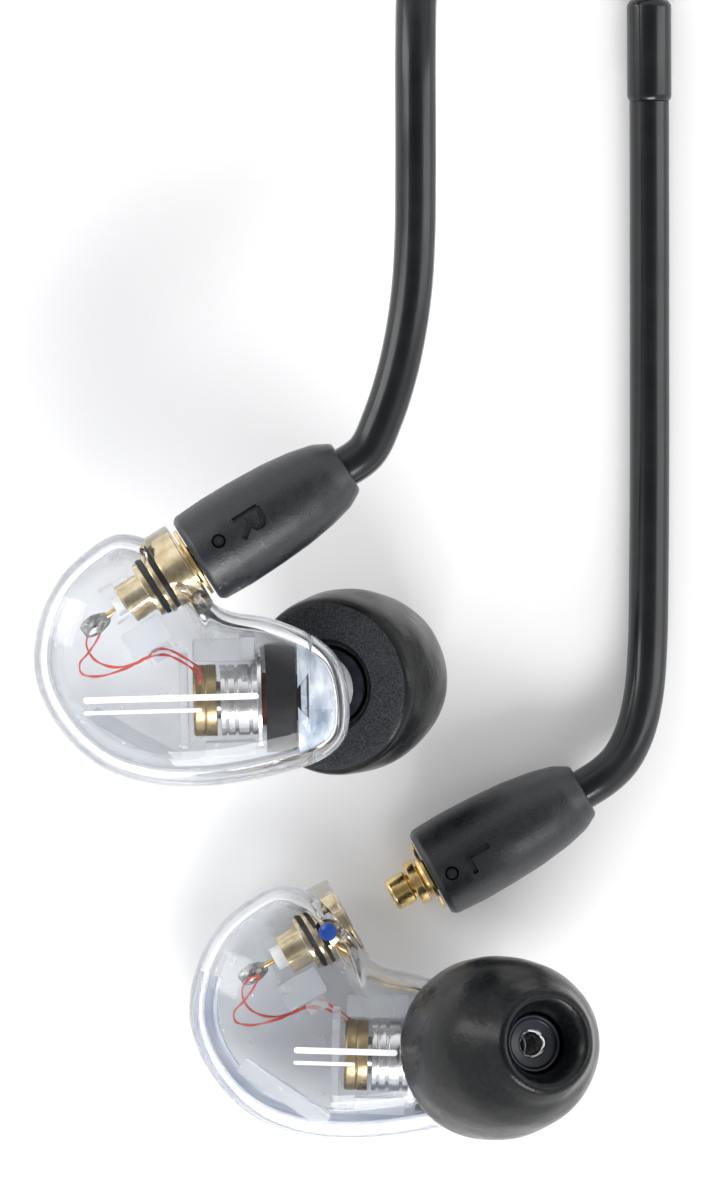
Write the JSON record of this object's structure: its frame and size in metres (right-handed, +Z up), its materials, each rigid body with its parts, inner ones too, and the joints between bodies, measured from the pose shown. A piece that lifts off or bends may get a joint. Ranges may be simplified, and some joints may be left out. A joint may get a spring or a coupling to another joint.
{
  "type": "in ear monitors",
  "caption": "Clear in ear monitors with foam tips, over-ear formable hooks and a detachable cable with slider, split and jack plug, folded into a tied hank.",
  "frame": {"origin": "centre of the footprint of the two earphones and their cable boots, on the surface they lie on", "axes": "+Z up from the surface; +Y from the earphones towards the stored cable; +X towards the side where the nozzles point"},
  "size_m": [0.0464, 0.1856, 0.0225],
  "materials": {
    "clear_shell": "clear polished",
    "gold": "gold plated",
    "ptfe": "smooth",
    "solder": "dull",
    "driver_brass": "lacquered",
    "magnet": "ground",
    "steel": "nickel plated",
    "copper": "enamelled wire",
    "film": "thin film",
    "black_plastic": "fine moulded texture",
    "damper_mesh": "woven mesh",
    "core_plastic": "gloss",
    "foam": "slow recovery foam with a smooth skin",
    "red_wire": "enamel",
    "blue_dot": "gloss",
    "red_dot": "gloss",
    "hook_tube": "satin",
    "collar_rubber": "satin",
    "cable_jacket": "satin",
    "strap": "woven"
  },
  "bodies": {
    "cable": {"right_boot": "black_plastic", "right_plug_shell": "gold", "right_plug_insulator": "ptfe", "right_plug_pin": "gold", "right_hook": "hook_tube", "right_collar": "collar_rubber", "right_branch": "cable_jacket", "left_boot": "black_plastic", "left_plug_shell": "gold", "left_plug_insulator": "ptfe", "left_plug_pin": "gold", "left_hook": "hook_tube", "left_collar": "collar_rubber", "left_branch": "cable_jacket", "hank": "cable_jacket", "tie": "strap", "y_split": "black_plastic", "plug_body": "black_plastic", "plug_barrel": "gold"},
    "slider": {"slider": "black_plastic"},
    "right_snap_ring": {"right_snap_ring": "gold"},
    "right_earphone": {"right_outer_shell": "clear_shell", "right_inner_shell": "clear_shell", "right_jack_body": "gold", "right_jack_insulator": "ptfe", "right_jack_contact": "gold", "right_solder_joint": "solder", "right_driver_cup": "driver_brass", "right_driver_magnet": "magnet", "right_driver_plate": "steel", "right_driver_frame": "steel", "right_driver_front_ring": "black_plastic", "right_gasket": "film", "right_nozzle_damper": "damper_mesh", "right_driver_leads": "red_wire", "right_marker_dot": "red_dot"},
    "right_coil": {"right_voice_coil": "copper", "right_diaphragm": "film"},
    "right_tip": {"right_tip_core": "core_plastic", "right_tip_foam": "foam"},
    "left_snap_ring": {"left_snap_ring": "gold"},
    "left_earphone": {"left_outer_shell": "clear_shell", "left_inner_shell": "clear_shell", "left_jack_body": "gold", "left_jack_insulator": "ptfe", "left_jack_contact": "gold", "left_solder_joint": "solder", "left_driver_cup": "driver_brass", "left_driver_magnet": "magnet", "left_driver_plate": "steel", "left_driver_frame": "steel", "left_driver_front_ring": "black_plastic", "left_gasket": "film", "left_nozzle_damper": "damper_mesh", "left_driver_leads": "red_wire", "left_marker_dot": "blue_dot"},
    "left_coil": {"left_voice_coil": "copper", "left_diaphragm": "film"},
    "left_tip": {"left_tip_core": "core_plastic", "left_tip_foam": "foam"}
  },
  "joints": [
    {"name": "right_swivel", "type": "hinge", "parent": "cable", "child": "right_snap_ring", "pos_m": [-0.00896, 0.01629, 0.01895], "axis": [0.8471, 0.5314, 0], "continuous": true},
    {"name": "right_unplug", "type": "slide", "parent": "right_snap_ring", "child": "right_earphone", "axis": [-0.8471, -0.5314, 0], "range_m": [0, 0.00615]},
    {"name": "right_tip_slide", "type": "slide", "parent": "right_earphone", "child": "right_tip", "axis": [0.4005, 0.0969, -0.9111], "range_m": [0, 0.014]},
    {"name": "right_diaphragm_stroke", "type": "slide", "parent": "right_earphone", "child": "right_coil", "axis": [0.9996, 0.0279, 0], "range_m": [-0.00015, 0.00015], "stiffness_N_per_m": 200},
    {"name": "left_swivel", "type": "hinge", "parent": "cable", "child": "left_snap_ring", "pos_m": [0.00229, -0.00911, 0.0036], "axis": [0.8755, 0.4833, 0], "range_deg": [-60, 90]},
    {"name": "left_plug_in", "type": "slide", "parent": "left_snap_ring", "child": "left_earphone", "axis": [0.8755, 0.4833, 0], "range_m": [0, 0.00615]},
    {"name": "left_tip_slide", "type": "slide", "parent": "left_earphone", "child": "left_tip", "axis": [0.4053, 0.0744, 0.9112], "range_m": [0, 0.014]},
    {"name": "left_diaphragm_stroke", "type": "slide", "parent": "left_earphone", "child": "left_coil", "axis": [0.9996, -0.0279, 0], "range_m": [-0.00015, 0.00015], "stiffness_N_per_m": 200},
    {"name": "cinch_slide", "type": "slide", "parent": "cable", "child": "slider", "axis": [0, -1, 0], "range_m": [0, 0.003]}
  ]
}
